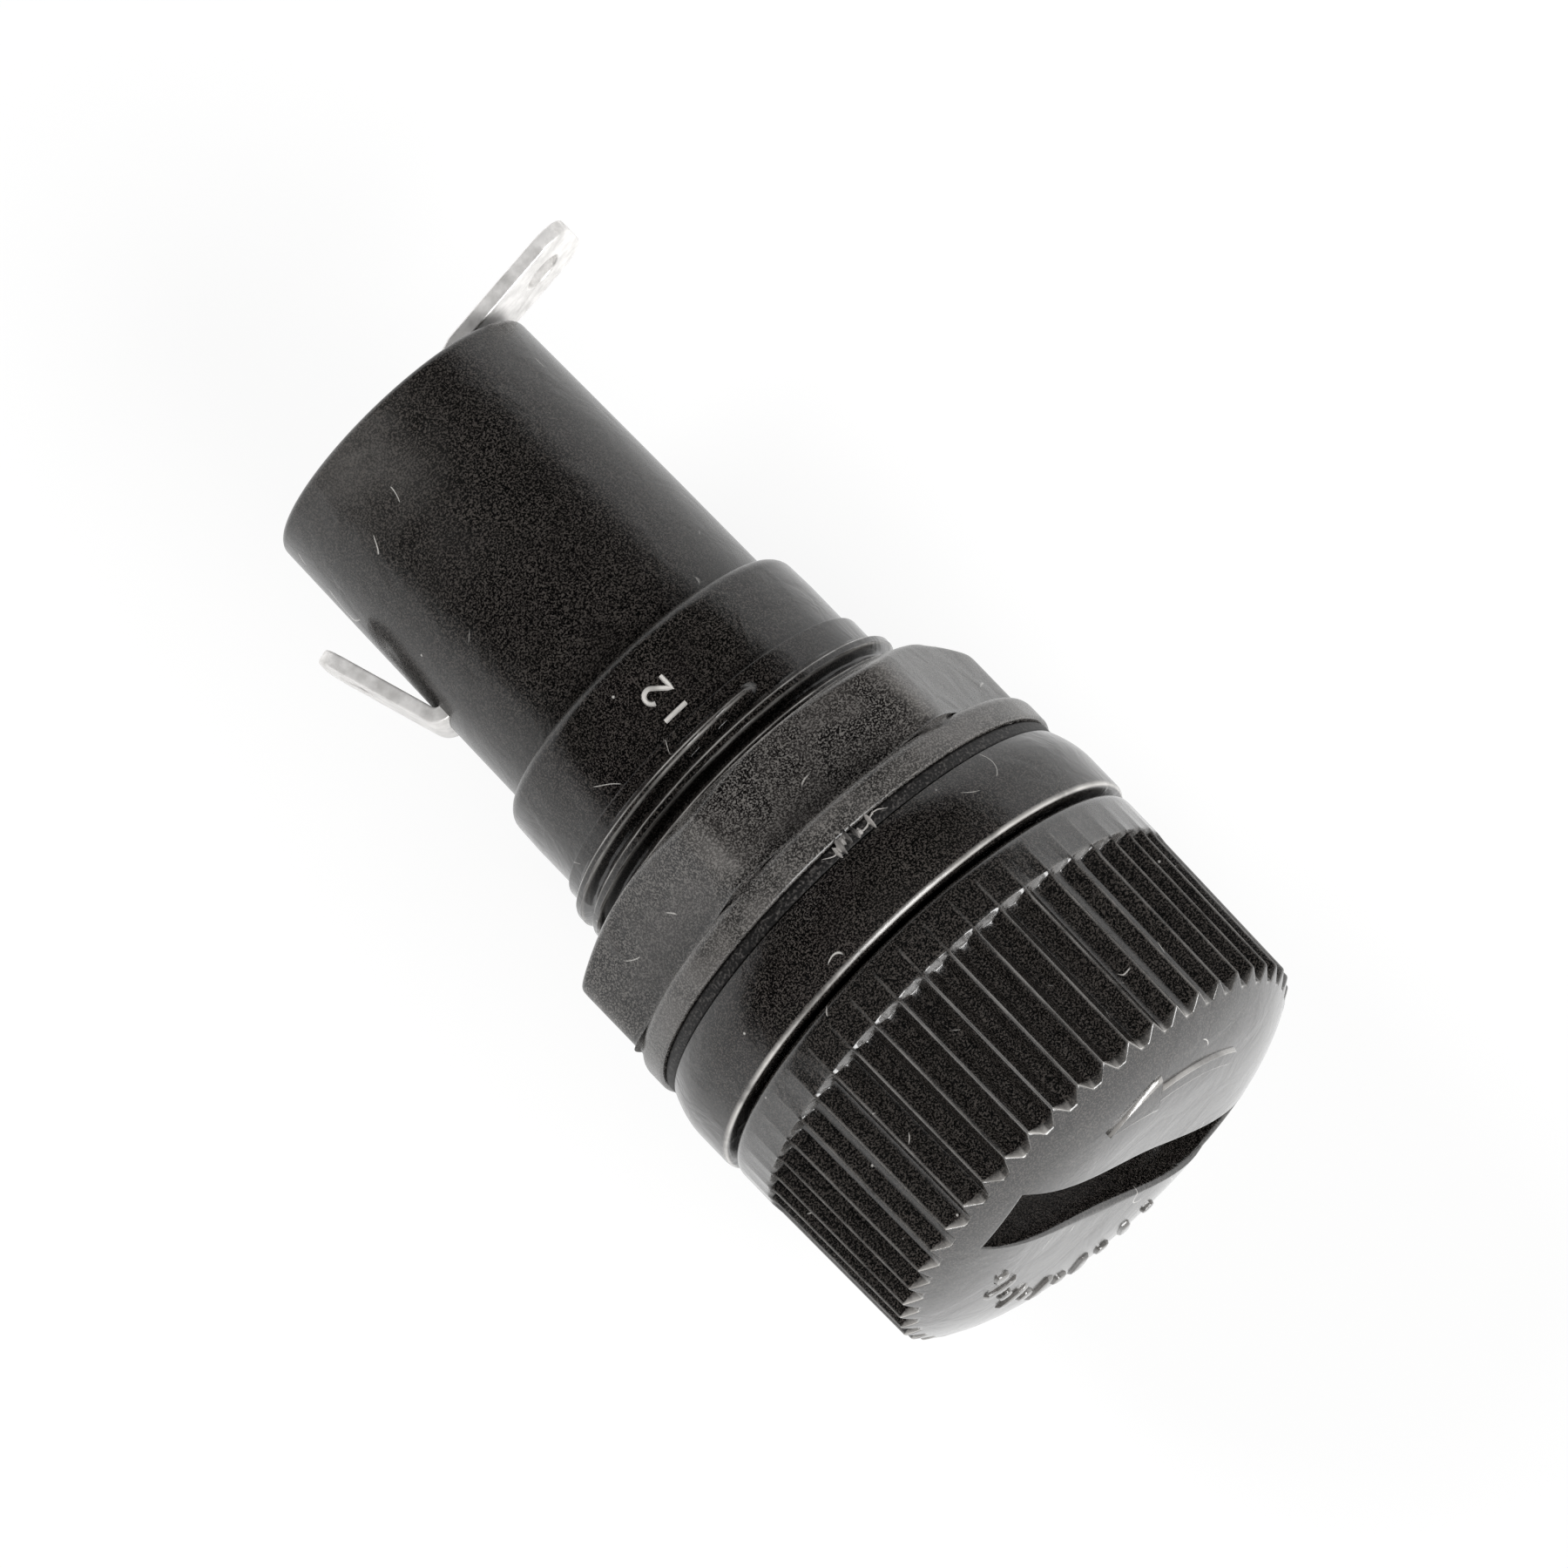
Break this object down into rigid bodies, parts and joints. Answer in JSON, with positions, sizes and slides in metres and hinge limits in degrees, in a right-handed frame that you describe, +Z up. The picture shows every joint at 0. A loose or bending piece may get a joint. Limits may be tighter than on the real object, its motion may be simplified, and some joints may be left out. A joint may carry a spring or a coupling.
{
  "type": "cartridge fuse holder",
  "caption": "Panel-mount holder for a small glass cartridge fuse, with a coin-slotted screwdriver knob, a panel nut with gasket, and solder lugs at the side and rear.",
  "frame": {"origin": "on the holder's axis, at the rear face of the body's flange, where it sits on the panel", "axes": "+Y along the axis from the knob to the rear terminal, +Z up, side terminal towards -X, rear terminal towards +X"},
  "size_m": [0.0166, 0.0339, 0.0166],
  "materials": {
    "body_plastic": "moulded, satin",
    "nut_plastic": "moulded, satin",
    "knob_plastic": "moulded, satin",
    "gasket_rubber": "matt",
    "seal_rubber": "matt",
    "tinned_strip": "tin plated, satin",
    "tinned_contact": "tin plated, satin",
    "nickel_cap": "nickel plated",
    "fuse_glass": "clear",
    "solder": "dull",
    "fuse_wire": "drawn",
    "spring_steel": "drawn wire",
    "screw_steel": "zinc plated"
  },
  "bodies": {
    "holder": {"holder_body": "body_plastic", "contact_sleeve": "tinned_contact", "side_terminal": "tinned_strip", "rear_terminal": "tinned_strip", "spring_seat": "tinned_contact", "rear_rivet": "tinned_contact", "rear_spring": "spring_steel"},
    "gasket": {"panel_gasket": "gasket_rubber"},
    "nut": {"panel_nut": "nut_plastic"},
    "fuse": {"fuse_cap_front": "nickel_cap", "fuse_cap_rear": "nickel_cap", "fuse_glass": "fuse_glass", "solder_front": "solder", "solder_rear": "solder", "fuse_wire": "fuse_wire"},
    "knob": {"knob": "knob_plastic", "knob_seal": "seal_rubber", "fuse_clip": "tinned_contact", "clip_screw": "screw_steel"},
    "plunger": {"rear_contact": "tinned_contact"}
  },
  "joints": [
    {"name": "nut_travel", "type": "slide", "parent": "holder", "child": "gasket", "axis": [0, 1, 0], "range_m": [0, 0.006]},
    {"name": "nut_turn", "type": "hinge", "parent": "gasket", "child": "nut", "pos_m": [0, 0, 0], "axis": [0, 1, 0], "range_deg": [0, 2881]},
    {"name": "fuse_pull", "type": "slide", "parent": "holder", "child": "fuse", "axis": [0, -1, 0], "range_m": [0, 0.04]},
    {"name": "knob_turn", "type": "hinge", "parent": "fuse", "child": "knob", "pos_m": [0, 0, 0], "axis": [0, -1, 0], "range_deg": [0, 90]},
    {"name": "contact_press", "type": "slide", "parent": "holder", "child": "plunger", "axis": [0, 1, 0], "range_m": [0, 0.0015], "stiffness_N_per_m": 1000, "springref_m": -0.003, "deforming": ["rear_spring"]}
  ],
  "couplings": [
    {"joint": "nut_turn", "follows": "nut_travel", "rad_per_m": 8377.6}
  ]
}
